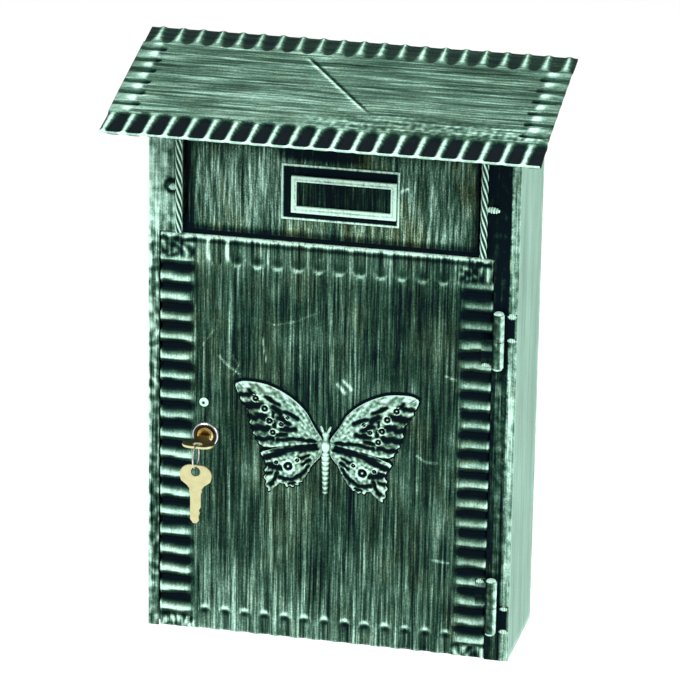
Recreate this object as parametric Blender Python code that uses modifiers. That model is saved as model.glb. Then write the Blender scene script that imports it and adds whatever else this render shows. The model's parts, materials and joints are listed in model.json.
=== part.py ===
"""Wall mounted mailbox: a flat welded sheet-steel case with a sloping roof, a hinged front
door with a cam lock, and a mail flap under the roof.

Metres, +Z up.  The wall is the plane y = 0, the front of the case looks along -Y, and the
origin is the middle of the face that lies on the wall.
"""
import math

import bmesh
import bpy
from mathutils import Matrix, Vector

# Case
CASE_WIDTH = 0.260
CASE_DEPTH = 0.084
CASE_BOTTOM = -0.200
SHEET = 0.0015
GAP = 0.0003
HALF_WIDTH = CASE_WIDTH / 2
FRONT_Y = -CASE_DEPTH

# Roof plate: its top surface falls from the wall to the front edge
ROOF_WIDTH = 0.302
ROOF_OVERHANG = 0.050
ROOF_BACK_Z = CASE_BOTTOM + 0.4162
ROOF_FRONT_Z = CASE_BOTTOM + 0.3768
ROOF_RUN = CASE_DEPTH + ROOF_OVERHANG
ROOF_SLOPE = math.atan((ROOF_BACK_Z - ROOF_FRONT_Z) / ROOF_RUN)

# Door
DOOR_LEFT = -0.1215
DOOR_RIGHT = 0.1128
DOOR_BOTTOM = CASE_BOTTOM + 0.0004
DOOR_TOP = CASE_BOTTOM + 0.2925
DOOR_DEPTH = 0.0097
DOOR_SIDE_GAP = 0.0010

# Mail flap and the opening it closes
FLAP_LEFT = -0.102
FLAP_RIGHT = 0.101
FLAP_BOTTOM = CASE_BOTTOM + 0.2968
FLAP_AXIS_Z = CASE_BOTTOM + 0.380
FLAP_AXIS_Y = FRONT_Y + 0.0040
FLAP_CURL_RADIUS = 0.0035
FLAP_ROD_RADIUS = 0.0015
OPENING_LEFT = -0.106
OPENING_RIGHT = 0.1065
ROD_X = {"left": -0.1077, "right": 0.1056}
ROD_SIDE = 0.0037
ROD_BOTTOM = CASE_BOTTOM + 0.2945
ROD_TOP = CASE_BOTTOM + 0.3870

# Hinges: barrels stand in front of the case, on the right
HINGE_X = 0.118
HINGE_Y = FRONT_Y - 0.005
BARREL_RADIUS = 0.0040
BARREL_LENGTH = 0.0375
PIN_RADIUS = 0.0016
PIN_CLEARANCE = 0.0003
LEAF_THICKNESS = 0.0018
LEAF_REACH = 0.0120
HINGE_BOTTOM = {"upper": CASE_BOTTOM + 0.2180, "lower": CASE_BOTTOM + 0.0230}

# Lock
LOCK_X = -0.0883
LOCK_Z = CASE_BOTTOM + 0.1473
BEZEL_RADIUS = 0.00975
SLEEVE_RADIUS = 0.0078
PLUG_RADIUS = 0.0060
SLEEVE_BACK_Y = FRONT_Y + 0.0195
CAM_Y = FRONT_Y + 0.0215
CAM_THICKNESS = 0.0020
CAM_REACH = 0.0380
KEEPER_FRONT_Y = FRONT_Y + 0.0175

# Keys
KEY_THICKNESS = 0.0018
KEY_HEAD = 0.0230
KEY_HEAD_LENGTH = 0.0175
KEY_LENGTH = 0.0430
KEY_BLADE = 0.0076
KEY_END_Y = FRONT_Y - 0.0275
KEY_HOLE_RADIUS = 0.0034
KEY_LAND = 0.0014
KEY_HOLE_FROM_END = KEY_LAND + KEY_HOLE_RADIUS
RING_RADIUS = 0.0084
RING_WIRE = 0.0006

# Butterfly: right half of the outline, from the middle of its body, top to bottom
BUTTERFLY_X = -0.0020
BUTTERFLY_Z = CASE_BOTTOM + 0.1490
BUTTERFLY_THICKNESS = 0.0022
BUTTERFLY_HALF = [
    (0.0022, 0.0068), (0.0030, 0.0032), (0.0085, 0.0115), (0.0155, 0.0230), (0.0270, 0.0325),
    (0.0420, 0.0392), (0.0570, 0.0405), (0.0638, 0.0372), (0.0610, 0.0280), (0.0565, 0.0205),
    (0.0540, 0.0105), (0.0515, 0.0030), (0.0470, -0.0040), (0.0462, -0.0115), (0.0425, -0.0190),
    (0.0430, -0.0290), (0.0400, -0.0385), (0.0360, -0.0300), (0.0275, -0.0340), (0.0200, -0.0320),
    (0.0150, -0.0255), (0.0095, -0.0165), (0.0042, -0.0110), (0.0038, -0.0250), (0.0022, -0.0375),
]


def clear_scene():
    for obj in list(bpy.data.objects):
        bpy.data.objects.remove(obj, do_unlink=True)


def new_collection(name):
    collection = bpy.data.collections.new(name)
    bpy.context.scene.collection.children.link(collection)
    return collection


def principled(name, colour, roughness, metallic):
    material = bpy.data.materials.new(name)
    material.use_nodes = True
    shader = material.node_tree.nodes["Principled BSDF"]
    shader.inputs["Base Color"].default_value = (*colour, 1.0)
    shader.inputs["Roughness"].default_value = roughness
    shader.inputs["Metallic"].default_value = metallic
    return material


FINISHES = {
    "patina": ((0.11, 0.20, 0.15), 0.55, 0.35),
    "plated": ((0.55, 0.56, 0.55), 0.30, 1.0),
    "brass": ((0.62, 0.47, 0.20), 0.32, 1.0),
    "key_metal": ((0.68, 0.62, 0.44), 0.35, 1.0),
}


def add_object(name, mesh, finish, location=(0, 0, 0), cutter=False):
    """Link a mesh or curve as one named sub-part with its own material."""
    obj = bpy.data.objects.new(name, mesh)
    obj.location = location
    if cutter:
        cutters.objects.link(obj)
        obj.hide_render = True
        obj.display_type = "WIRE"
    else:
        parts.objects.link(obj)
        obj.data.materials.append(principled(name + "_" + finish, *FINISHES[finish]))
    return obj


def bm_to_mesh(name, bm):
    mesh = bpy.data.meshes.new(name)
    bm.to_mesh(mesh)
    bm.free()
    return mesh


def box_mesh(name, low, high):
    """A box between two corners, in the object's own coordinates."""
    low, high = Vector(low), Vector(high)
    bm = bmesh.new()
    placed = Matrix.Translation((low + high) / 2) @ Matrix.Diagonal((*(high - low), 1.0))
    bmesh.ops.create_cube(bm, size=1.0, matrix=placed)
    return bm_to_mesh(name, bm)


def cylinder_mesh(name, radius, start, end, segments=32):
    """A cylinder between two points on its axis."""
    start, end = Vector(start), Vector(end)
    along = end - start
    turn = along.to_track_quat("Z", "Y").to_matrix().to_4x4()
    bm = bmesh.new()
    bmesh.ops.create_cone(bm, cap_ends=True, segments=segments, radius1=radius,
                          radius2=radius, depth=along.length,
                          matrix=Matrix.Translation((start + end) / 2) @ turn)
    mesh = bm_to_mesh(name, bm)
    mesh.shade_smooth()
    mesh.set_sharp_from_angle(angle=math.radians(35))
    return mesh


def outline_object(name, loops, thickness, finish, location, rotation, cutter=False):
    """A flat plate from closed outlines in its own XY plane; later loops are holes."""
    curve = bpy.data.curves.new(name, "CURVE")
    curve.dimensions = "2D"
    curve.fill_mode = "BOTH"
    curve.extrude = thickness / 2
    for loop in loops:
        spline = curve.splines.new("POLY")
        spline.points.add(len(loop) - 1)
        for point, (x, y) in zip(spline.points, loop):
            point.co = (x, y, 0.0, 1.0)
        spline.use_cyclic_u = True
    obj = add_object(name, curve, finish, location, cutter)
    obj.rotation_euler = rotation
    return as_mesh(obj)


def as_mesh(obj):
    """Turn a curve object into a mesh object with welded caps, in the same place."""
    bpy.context.view_layer.update()
    depsgraph = bpy.context.evaluated_depsgraph_get()
    mesh = bpy.data.meshes.new_from_object(obj.evaluated_get(depsgraph))
    bm = bmesh.new()
    bm.from_mesh(mesh)
    bmesh.ops.remove_doubles(bm, verts=bm.verts, dist=0.00001)
    bm.to_mesh(mesh)
    bm.free()
    name = obj.name
    placed = obj.matrix_world.copy()
    home = obj.users_collection[0]
    cutter = obj.hide_render
    bpy.data.objects.remove(obj, do_unlink=True)
    solid = bpy.data.objects.new(name, mesh)
    solid.matrix_world = placed
    solid.hide_render = cutter
    solid.display_type = "WIRE" if cutter else "TEXTURED"
    home.objects.link(solid)
    return solid


def boolean(obj, tool, operation):
    modifier = obj.modifiers.new(operation.lower(), "BOOLEAN")
    modifier.operation = operation
    modifier.object = tool


def arc(centre, radius, start_deg, end_deg, steps):
    """Points of an arc, both ends included."""
    points = []
    for i in range(steps + 1):
        angle = math.radians(start_deg + (end_deg - start_deg) * i / steps)
        points.append((centre[0] + radius * math.cos(angle), centre[1] + radius * math.sin(angle)))
    return points


def roof_underside(y):
    """Height of the underside of the roof plate at a distance y from the wall."""
    return ROOF_BACK_Z + y * math.tan(ROOF_SLOPE) - SHEET / math.cos(ROOF_SLOPE)


# Rotations that stand a plate's XY outline up in the model
ACROSS_CASE = (math.radians(90), 0, math.radians(90))      # outline x along +Y, y up, thick in X
FACING_FRONT = (math.radians(90), 0, 0)                    # outline x along +X, y up, thick in Y
TOWARDS_FRONT = (math.radians(90), 0, 0)                   # a turned profile's heights along -Y
TOWARDS_WALL = (math.radians(-90), 0, 0)                   # a turned profile's heights along +Y


def build_case():
    """Welded sheet case: back, two sides, bottom, front strips and roof."""
    back_front = -SHEET
    inner = HALF_WIDTH - SHEET - GAP

    back_top = roof_underside(back_front) - GAP - 0.0005
    back = add_object("back_panel", box_mesh("back_panel", (-inner, back_front, CASE_BOTTOM),
                                             (inner, 0, back_top)), "patina")
    hole_x = 0.095
    for z in (CASE_BOTTOM + 0.045, CASE_BOTTOM + 0.355):
        for side in (-1, 1):
            x = side * hole_x
            mesh = cylinder_mesh("wall_screw_hole", 0.003, (x, -0.01, z), (x, 0.01, z), 20)
            boolean(back, add_object("wall_screw_hole", mesh, None, cutter=True), "DIFFERENCE")

    side_front = FRONT_Y + SHEET + GAP
    side_outline = [(side_front, CASE_BOTTOM), (0, CASE_BOTTOM),
                    (0, roof_underside(0) - GAP), (side_front, roof_underside(side_front) - GAP)]
    for name, side in (("left_side", -1), ("right_side", 1)):
        x = side * (HALF_WIDTH - SHEET / 2)
        outline_object(name, [side_outline], SHEET, "patina", (x, 0, 0), ACROSS_CASE)

    # The bottom turns up at the front, and the closed door rests on that lip
    lip = 0.012
    front = FRONT_Y + DOOR_DEPTH + GAP
    rear = back_front - GAP
    profile = [(front, CASE_BOTTOM), (rear, CASE_BOTTOM), (rear, CASE_BOTTOM + SHEET),
               (front + SHEET, CASE_BOTTOM + SHEET), (front + SHEET, CASE_BOTTOM + lip),
               (front, CASE_BOTTOM + lip)]
    outline_object("bottom_panel", [profile], 2 * inner, "patina", (0, 0, 0), ACROSS_CASE)

    stile_top = roof_underside(FRONT_Y) - GAP
    step_z = DOOR_TOP + 0.0012
    left = [(-HALF_WIDTH, CASE_BOTTOM), (DOOR_LEFT - DOOR_SIDE_GAP, CASE_BOTTOM),
            (DOOR_LEFT - DOOR_SIDE_GAP, step_z), (OPENING_LEFT, step_z),
            (OPENING_LEFT, stile_top), (-HALF_WIDTH, stile_top)]
    right = [(HALF_WIDTH, CASE_BOTTOM), (HALF_WIDTH, stile_top), (OPENING_RIGHT, stile_top),
             (OPENING_RIGHT, step_z), (DOOR_RIGHT + GAP, step_z), (DOOR_RIGHT + GAP, CASE_BOTTOM)]
    stile_y = FRONT_Y + SHEET / 2
    outline_object("left_stile", [left], SHEET, "patina", (0, stile_y, 0), FACING_FRONT)
    outline_object("right_stile", [right], SHEET, "patina", (0, stile_y, 0), FACING_FRONT)

    header_bottom = FLAP_AXIS_Z + FLAP_CURL_RADIUS + 0.0015
    add_object("header", box_mesh("header", (OPENING_LEFT + GAP, FRONT_Y, header_bottom),
                                  (OPENING_RIGHT - GAP, FRONT_Y + SHEET, stile_top)), "patina")

    # Angle behind the gap between door and flap: the hanging flap rests on its upright leg
    rail_front = FRONT_Y + 0.0023
    rail_bottom = DOOR_TOP + 0.0008
    rail_top = FLAP_BOTTOM + 0.0090
    rail_leg = 0.0160
    angle = [(rail_front, rail_bottom), (rail_front + rail_leg, rail_bottom),
             (rail_front + rail_leg, rail_bottom + SHEET), (rail_front + SHEET, rail_bottom + SHEET),
             (rail_front + SHEET, rail_top), (rail_front, rail_top)]
    outline_object("mid_rail", [angle], 2 * inner, "patina", (0, 0, 0), ACROSS_CASE)

    roof_length = ROOF_RUN / math.cos(ROOF_SLOPE)
    roof = add_object("roof", box_mesh("roof", (-ROOF_WIDTH / 2, -roof_length, -SHEET),
                                       (ROOF_WIDTH / 2, 0, 0)), "patina", (0, 0, ROOF_BACK_Z))
    roof.rotation_euler = (ROOF_SLOPE, 0, 0)
    roof.location.y = -SHEET * math.sin(ROOF_SLOPE)


def build_twisted_rods():
    """Square bars, twisted cold, welded upright beside the flap."""
    quarter_turn = 0.0080
    length = ROD_TOP - ROD_BOTTOM
    twist_angle = -length / quarter_turn * math.radians(90)
    slices = 46
    y = FRONT_Y - GAP - ROD_SIDE / math.sqrt(2)
    for side, x in ROD_X.items():
        bm = bmesh.new()
        bmesh.ops.create_cube(bm, size=1.0, matrix=Matrix.Diagonal((ROD_SIDE, ROD_SIDE, length, 1)))
        upright = [edge for edge in bm.edges if abs(edge.verts[0].co.z - edge.verts[1].co.z) > ROD_SIDE]
        bmesh.ops.subdivide_edges(bm, edges=upright, cuts=slices - 1, use_grid_fill=True)
        name = side + "_twisted_rod"
        rod = add_object(name, bm_to_mesh(name, bm), "patina", (x, y, (ROD_TOP + ROD_BOTTOM) / 2))
        twist = rod.modifiers.new("twist", "SIMPLE_DEFORM")
        twist.deform_method = "TWIST"
        twist.deform_axis = "Z"
        twist.angle = twist_angle


def build_flap():
    """Mail flap: its top edge is curled round a fixed rod, and it carries the label holder."""
    inside = FLAP_CURL_RADIUS - SHEET
    centre = (FLAP_AXIS_Y, FLAP_AXIS_Z)
    front = FLAP_AXIS_Y - FLAP_CURL_RADIUS
    curl_end = -60
    profile = [(front + SHEET, FLAP_BOTTOM), (front, FLAP_BOTTOM)]
    profile += arc(centre, FLAP_CURL_RADIUS, 180, curl_end, 12)
    profile += arc(centre, inside, curl_end, 180, 12)
    x = (FLAP_LEFT + FLAP_RIGHT) / 2
    flap = outline_object("mail_flap", [profile], FLAP_RIGHT - FLAP_LEFT, "patina",
                          (x, 0, 0), ACROSS_CASE)
    set_origin(flap, (x, FLAP_AXIS_Y, FLAP_AXIS_Z))

    bracket_thickness = 0.0015
    lug_y = (FRONT_Y + SHEET + GAP, FLAP_AXIS_Y + 0.006)
    lug_z = (FLAP_AXIS_Z - 0.006, FLAP_AXIS_Z + 0.0055)
    rod_ends = (FLAP_LEFT - 0.0085, FLAP_RIGHT + 0.0115)
    for name, x in (("left_rod_bracket", OPENING_LEFT - 0.0020),
                    ("right_rod_bracket", OPENING_RIGHT + 0.0020)):
        lug = add_object(name, box_mesh(name, (x - bracket_thickness / 2, lug_y[0], lug_z[0]),
                                        (x + bracket_thickness / 2, lug_y[1], lug_z[1])), "patina")
        hole = cylinder_mesh(name + "_hole", FLAP_ROD_RADIUS + GAP, (x - 0.01, *centre),
                             (x + 0.01, *centre), 20)
        boolean(lug, add_object(name + "_hole", hole, None, cutter=True), "DIFFERENCE")
    add_object("flap_rod", cylinder_mesh("flap_rod", FLAP_ROD_RADIUS, (rod_ends[0], *centre),
                                         (rod_ends[1], *centre), 20), "patina")

    # Label holder: a flat plate and a raised frame, both spot welded on the flap
    plate_thickness = 0.0010
    plate_y = front - GAP - plate_thickness
    plate_z = (CASE_BOTTOM + 0.3098, CASE_BOTTOM + 0.3492)
    add_object("label_plate", box_mesh("label_plate", (-0.0360, plate_y, plate_z[0]),
                                       (0.0465, front - GAP, plate_z[1])), "patina")
    frame = ((-0.0285, 0.0447), (CASE_BOTTOM + 0.3154, CASE_BOTTOM + 0.3415))
    window = ((-0.0250, 0.0410), (CASE_BOTTOM + 0.3200, CASE_BOTTOM + 0.3375))
    frame_thickness = 0.0022
    loops = []
    for (x0, x1), (z0, z1) in (frame, window):
        loops.append([(x0, z0), (x1, z0), (x1, z1), (x0, z1)])
    outline_object("label_frame", loops, frame_thickness, "patina",
                   (0, plate_y - GAP - frame_thickness / 2, 0), FACING_FRONT)


def set_origin(obj, point):
    """Move an object's origin to a point of the joint axis and leave its shape in place."""
    old = obj.matrix_world.copy()
    new = Matrix.Translation(point)
    obj.data.transform(new.inverted() @ old)
    obj.matrix_world = new


def build_door():
    """Door: a sheet pan with turned-back edges, a hole for the lock and a riveted tab."""
    bm = bmesh.new()
    width = DOOR_RIGHT - DOOR_LEFT
    height = DOOR_TOP - DOOR_BOTTOM
    middle = Vector(((DOOR_LEFT + DOOR_RIGHT) / 2, FRONT_Y + DOOR_DEPTH / 2, (DOOR_TOP + DOOR_BOTTOM) / 2))
    placed = Matrix.Translation(middle) @ Matrix.Diagonal((width, DOOR_DEPTH, height, 1.0))
    bmesh.ops.create_cube(bm, size=1.0, matrix=placed)
    open_side = [face for face in bm.faces if face.normal.y > 0.5]
    bmesh.ops.delete(bm, geom=open_side, context="FACES_ONLY")
    door = add_object("door_panel", bm_to_mesh("door_panel", bm), "patina")
    shell = door.modifiers.new("sheet", "SOLIDIFY")
    shell.thickness = SHEET
    shell.offset = -1.0
    shell.use_even_offset = True
    cut = cylinder_mesh("lock_hole", SLEEVE_RADIUS + GAP, (LOCK_X, FRONT_Y - 0.01, LOCK_Z),
                        (LOCK_X, FRONT_Y + 0.005, LOCK_Z), 32)
    boolean(door, add_object("lock_hole", cut, None, cutter=True), "DIFFERENCE")
    set_pivot(door)

    rivet_z = LOCK_Z + 0.0240
    rivet_x = LOCK_X - 0.0015
    radius = 0.0034
    dome = [(0.0, 0.0016), (radius * 0.5, 0.0014), (radius * 0.85, 0.0009), (radius, 0.0), (0.0, 0.0)]
    turned("door_rivet", dome, "patina", (rivet_x, FRONT_Y - GAP, rivet_z), TOWARDS_FRONT, 20)


def set_pivot(obj):
    """Put a door piece's origin on the hinge axis."""
    bpy.context.view_layer.update()
    set_origin(obj, (HINGE_X, HINGE_Y, 0))


def build_hinge(which):
    """Weld-on barrel hinge: half the barrel on each leaf, and a pin with a head at each end."""
    bottom = HINGE_BOTTOM[which]
    top = bottom + BARREL_LENGTH
    middle = (bottom + top) / 2
    halves = {"top": (middle + GAP, top), "bottom": (bottom, middle - GAP)}
    frame_half = "top" if which == "upper" else "bottom"
    door_half = "bottom" if which == "upper" else "top"
    face = FRONT_Y - GAP
    edge = BARREL_RADIUS + 0.0004
    for leaf, half, side in (("frame_leaf", frame_half, 1), ("door_leaf", door_half, -1)):
        z0, z1 = halves[half]
        name = f"{which}_hinge_{leaf}"
        knuckle = cylinder_mesh(name, BARREL_RADIUS, (HINGE_X, HINGE_Y, z0), (HINGE_X, HINGE_Y, z1), 24)
        obj = add_object(name, knuckle, "patina")
        reach = HINGE_X + side * LEAF_REACH
        near = HINGE_X + side * edge
        plates = (((near, z0), (reach, z1)), ((HINGE_X, z0), (near + side * 0.0005, z1)))
        for i, ((x0, low), (x1, high)) in enumerate(plates):
            plate = box_mesh(f"{name}_plate", (min(x0, x1), face - LEAF_THICKNESS, low),
                             (max(x0, x1), face, high))
            boolean(obj, add_object(f"{name}_plate_{i}", plate, None, cutter=True), "UNION")
        bore = cylinder_mesh(name + "_bore", PIN_RADIUS + PIN_CLEARANCE,
                             (HINGE_X, HINGE_Y, bottom - 0.01), (HINGE_X, HINGE_Y, top + 0.01), 24)
        boolean(obj, add_object(name + "_bore", bore, None, cutter=True), "DIFFERENCE")
        if side < 0:
            set_pivot(obj)

    head_radius = 0.0034
    head_height = 0.0018
    pin = [(0.0, top + GAP + head_height), (head_radius * 0.7, top + GAP + head_height),
           (head_radius, top + GAP + head_height * 0.5), (head_radius, top + GAP),
           (PIN_RADIUS, top + GAP), (PIN_RADIUS, bottom - GAP), (head_radius, bottom - GAP),
           (head_radius, bottom - GAP - head_height * 0.5),
           (head_radius * 0.7, bottom - GAP - head_height), (0.0, bottom - GAP - head_height)]
    turned(f"{which}_hinge_pin", pin, "patina", (HINGE_X, HINGE_Y, 0), (0, 0, 0), 20)


def turned(name, profile, finish, location, rotation, steps, cutter=False):
    """A solid of revolution from (radius, height) points listed from the top down."""
    bm = bmesh.new()
    verts = [bm.verts.new((radius, 0, height)) for radius, height in profile]
    for a, b in zip(verts, verts[1:]):
        bm.edges.new((a, b))
    if profile[0][0] > 0:
        bm.edges.new((verts[-1], verts[0]))
    obj = add_object(name, bm_to_mesh(name, bm), finish, location, cutter)
    obj.rotation_euler = rotation
    screw = obj.modifiers.new("turn", "SCREW")
    screw.axis = "Z"
    screw.steps = steps
    screw.render_steps = steps
    screw.use_merge_vertices = True
    screw.merge_threshold = 0.00001
    return obj


def build_lock():
    """Cam lock: sleeve with bezel and nut on the door, and a plug that turns the cam."""
    bezel_height = 0.0028
    bore = PLUG_RADIUS + GAP
    front = FRONT_Y - GAP
    depth = SLEEVE_BACK_Y - front
    sleeve = [(bore, bezel_height), (BEZEL_RADIUS * 0.80, bezel_height),
              (BEZEL_RADIUS * 0.94, bezel_height * 0.7), (BEZEL_RADIUS, bezel_height * 0.25),
              (BEZEL_RADIUS, 0.0), (SLEEVE_RADIUS, 0.0), (SLEEVE_RADIUS, -depth), (bore, -depth)]
    turned("lock_sleeve", sleeve, "plated", (LOCK_X, front, LOCK_Z), TOWARDS_FRONT, 32)

    nut_front = FRONT_Y + SHEET + GAP
    nut_thickness = 0.0035
    across_corners = 0.0110
    nut = add_object("lock_nut", cylinder_mesh("lock_nut", across_corners,
                                               (LOCK_X, nut_front, LOCK_Z),
                                               (LOCK_X, nut_front + nut_thickness, LOCK_Z), 6), "plated")
    hole = cylinder_mesh("nut_hole", SLEEVE_RADIUS + GAP, (LOCK_X, nut_front - 0.01, LOCK_Z),
                         (LOCK_X, nut_front + 0.01, LOCK_Z), 32)
    boolean(nut, add_object("nut_hole", hole, None, cutter=True), "DIFFERENCE")

    # Plug: the round face stands just inside the bezel, with a flat keyway for the blade
    face_y = front - bezel_height + 0.0006
    plug_back = CAM_Y - GAP
    plug = add_object("lock_plug", cylinder_mesh("lock_plug", PLUG_RADIUS, (LOCK_X, face_y, LOCK_Z),
                                                 (LOCK_X, plug_back, LOCK_Z), 32), "brass")
    slot_depth = 0.0185
    half_slot = KEY_BLADE / 2 + GAP
    half_gap = KEY_THICKNESS / 2 + GAP
    slot = box_mesh("keyway", (LOCK_X - half_slot, face_y - 0.005, LOCK_Z - half_gap),
                    (LOCK_X + half_slot, face_y + slot_depth, LOCK_Z + half_gap))
    boolean(plug, add_object("keyway", slot, None, cutter=True), "DIFFERENCE")
    set_origin(plug, (LOCK_X, FRONT_Y, LOCK_Z))

    # Cam: a flat bar with round ends, hanging down while the lock is open
    half_cam = 0.0050
    reach = CAM_REACH - half_cam
    outline = arc((0, 0), half_cam, 0, 180, 10) + arc((0, -reach), half_cam, 180, 360, 10)
    cam = outline_object("lock_cam", [outline], CAM_THICKNESS, "plated",
                         (LOCK_X, CAM_Y + CAM_THICKNESS / 2, LOCK_Z), FACING_FRONT)
    set_origin(cam, (LOCK_X, FRONT_Y, LOCK_Z))
    screw_profile = [(0.0, 0.0024), (0.0026, 0.0022), (0.0036, 0.0012), (0.0040, 0.0), (0.0, 0.0)]
    turned("cam_screw", screw_profile, "plated",
           (LOCK_X, CAM_Y + CAM_THICKNESS + GAP, LOCK_Z), TOWARDS_WALL, 20)

    keeper_reach = 0.0160
    keeper_depth = 0.0120
    inner = -HALF_WIDTH + SHEET + GAP
    keeper_half = 0.0140
    y = KEEPER_FRONT_Y
    angle = [(inner, y), (inner + keeper_reach, y), (inner + keeper_reach, y + 0.0018),
             (inner + 0.0018, y + 0.0018), (inner + 0.0018, y + keeper_depth), (inner, y + keeper_depth)]
    outline_object("lock_keeper", [angle], 2 * keeper_half, "patina", (0, 0, LOCK_Z), (0, 0, 0))


def key_outlines():
    """A small cam-lock key: wide rounded head with waisted sides, narrow notched blade."""
    half_head = KEY_HEAD / 2
    half_blade = KEY_BLADE / 2
    neck = -KEY_HEAD_LENGTH
    top = arc((half_head * 0.35, -half_head * 0.65), half_head * 0.65, -10, 90, 6)
    shoulder = [(half_head * 0.90, -0.0120), (half_head * 0.55, -0.0150), (half_blade + 0.0006, neck)]
    cuts = [(half_blade + 0.0006, neck - 0.0028), (half_blade, neck - 0.0032),
            (half_blade, -KEY_LENGTH + 0.0120), (half_blade - 0.0014, -KEY_LENGTH + 0.0100),
            (half_blade - 0.0006, -KEY_LENGTH + 0.0078), (half_blade - 0.0016, -KEY_LENGTH + 0.0052),
            (half_blade - 0.0012, -KEY_LENGTH + 0.0022), (half_blade - 0.0030, -KEY_LENGTH)]
    right = list(reversed(top)) + shoulder + cuts
    left = [(-x, y) for x, y in reversed(top)]
    left += [(-x, y) for x, y in shoulder]
    left += [(-half_blade - 0.0006, neck - 0.0028), (-half_blade, neck - 0.0032),
             (-half_blade, -KEY_LENGTH + 0.0030), (-half_blade + 0.0020, -KEY_LENGTH)]
    hole = arc((0, -KEY_HOLE_FROM_END), KEY_HOLE_RADIUS, 0, 345, 23)
    return [right + list(reversed(left)), hole]


def build_keys():
    """One key in the lock, a wire ring through its head, and a spare key on the ring."""
    loops = [[(x, -y) for x, y in loop] for loop in key_outlines()]
    key = outline_object("key", loops, KEY_THICKNESS, "key_metal",
                         (LOCK_X, KEY_END_Y, LOCK_Z), (0, 0, 0))
    set_origin(key, (LOCK_X, FRONT_Y, LOCK_Z))

    # The ring straddles the land between the hole and the key's end, just clear of its top
    inside = RING_RADIUS - RING_WIRE
    land_half = KEY_LAND / 2 + GAP
    centre_y = KEY_END_Y + KEY_LAND / 2
    centre_z = LOCK_Z + KEY_THICKNESS / 2 - math.sqrt(inside ** 2 - land_half ** 2)
    bpy.ops.mesh.primitive_torus_add(major_radius=RING_RADIUS, minor_radius=RING_WIRE,
                                     major_segments=40, minor_segments=8,
                                     location=(LOCK_X, centre_y, centre_z),
                                     rotation=(0, math.radians(90), 0))
    ring = bpy.context.object
    ring.name = "key_ring"
    ring.data.name = "key_ring"
    ring.data.materials.append(principled("key_ring_plated", *FINISHES["plated"]))
    for home in list(ring.users_collection):
        home.objects.unlink(ring)
    parts.objects.link(ring)

    # The spare key hangs face on, its hole on the lowest stretch of the ring
    end_z = centre_z - inside + GAP + KEY_LAND
    spare = outline_object("spare_key", key_outlines(), KEY_THICKNESS, "key_metal",
                           (LOCK_X, centre_y, end_z), FACING_FRONT)
    set_origin(spare, (LOCK_X, centre_y, centre_z - RING_RADIUS))


def build_butterfly():
    """Butterfly pressed from sheet and spot welded on the door, wings spread."""
    right = [(0.0, 0.0078)] + BUTTERFLY_HALF + [(0.0, -0.0392)]
    left = [(-x, z) for x, z in reversed(BUTTERFLY_HALF)]
    curve = bpy.data.curves.new("butterfly", "CURVE")
    curve.dimensions = "2D"
    curve.fill_mode = "BOTH"
    curve.extrude = BUTTERFLY_THICKNESS / 2
    curve.resolution_u = 2
    spline = curve.splines.new("BEZIER")
    outline = right + left
    spline.bezier_points.add(len(outline) - 1)
    for point, (x, z) in zip(spline.bezier_points, outline):
        point.co = (x, z, 0)
        point.handle_left_type = "AUTO"
        point.handle_right_type = "AUTO"
    spline.use_cyclic_u = True
    y = FRONT_Y - GAP - BUTTERFLY_THICKNESS / 2
    obj = add_object("butterfly", curve, "patina", (BUTTERFLY_X, y, BUTTERFLY_Z))
    obj.rotation_euler = FACING_FRONT
    set_pivot(as_mesh(obj))


clear_scene()
parts = new_collection("wall_mailbox")
cutters = new_collection("cutters")
build_case()
build_twisted_rods()
build_flap()
build_door()
build_butterfly()
for which in HINGE_BOTTOM:
    build_hinge(which)
build_lock()
build_keys()
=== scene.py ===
import json
import math

import bmesh
import bpy
import numpy as np
from mathutils import Matrix, Vector, noise


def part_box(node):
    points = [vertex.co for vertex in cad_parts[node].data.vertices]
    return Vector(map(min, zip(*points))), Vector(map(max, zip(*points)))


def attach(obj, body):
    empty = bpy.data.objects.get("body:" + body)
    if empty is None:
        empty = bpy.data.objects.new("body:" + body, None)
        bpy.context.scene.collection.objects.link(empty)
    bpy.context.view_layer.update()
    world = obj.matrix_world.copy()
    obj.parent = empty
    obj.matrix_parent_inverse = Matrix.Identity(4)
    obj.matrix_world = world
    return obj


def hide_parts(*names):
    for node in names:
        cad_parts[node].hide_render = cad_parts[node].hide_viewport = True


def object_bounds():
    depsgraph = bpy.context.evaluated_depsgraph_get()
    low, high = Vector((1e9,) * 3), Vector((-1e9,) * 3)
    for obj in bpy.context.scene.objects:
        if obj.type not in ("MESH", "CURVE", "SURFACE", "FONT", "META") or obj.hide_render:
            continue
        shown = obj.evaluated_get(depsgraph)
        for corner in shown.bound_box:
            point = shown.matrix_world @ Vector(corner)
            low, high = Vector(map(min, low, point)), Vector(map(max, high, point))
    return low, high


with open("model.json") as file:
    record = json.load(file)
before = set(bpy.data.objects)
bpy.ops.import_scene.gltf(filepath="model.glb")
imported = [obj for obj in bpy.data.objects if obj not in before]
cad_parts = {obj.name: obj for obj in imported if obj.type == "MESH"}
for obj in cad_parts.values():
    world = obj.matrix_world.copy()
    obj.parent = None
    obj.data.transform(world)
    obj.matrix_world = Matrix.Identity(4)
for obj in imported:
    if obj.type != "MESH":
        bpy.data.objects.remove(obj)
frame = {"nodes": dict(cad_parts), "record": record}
cad_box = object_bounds()


# --- Viewpoint -------------------------------------------------------------------------------
# A long lens from the front right and above, aimed a little above the middle of the case and
# leaning by under a degree.
MM = 0.001


def corner(node, which):
    """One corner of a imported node's box: 0 is the lowest, 1 the highest."""
    return Vector(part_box(node)[which])


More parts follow.
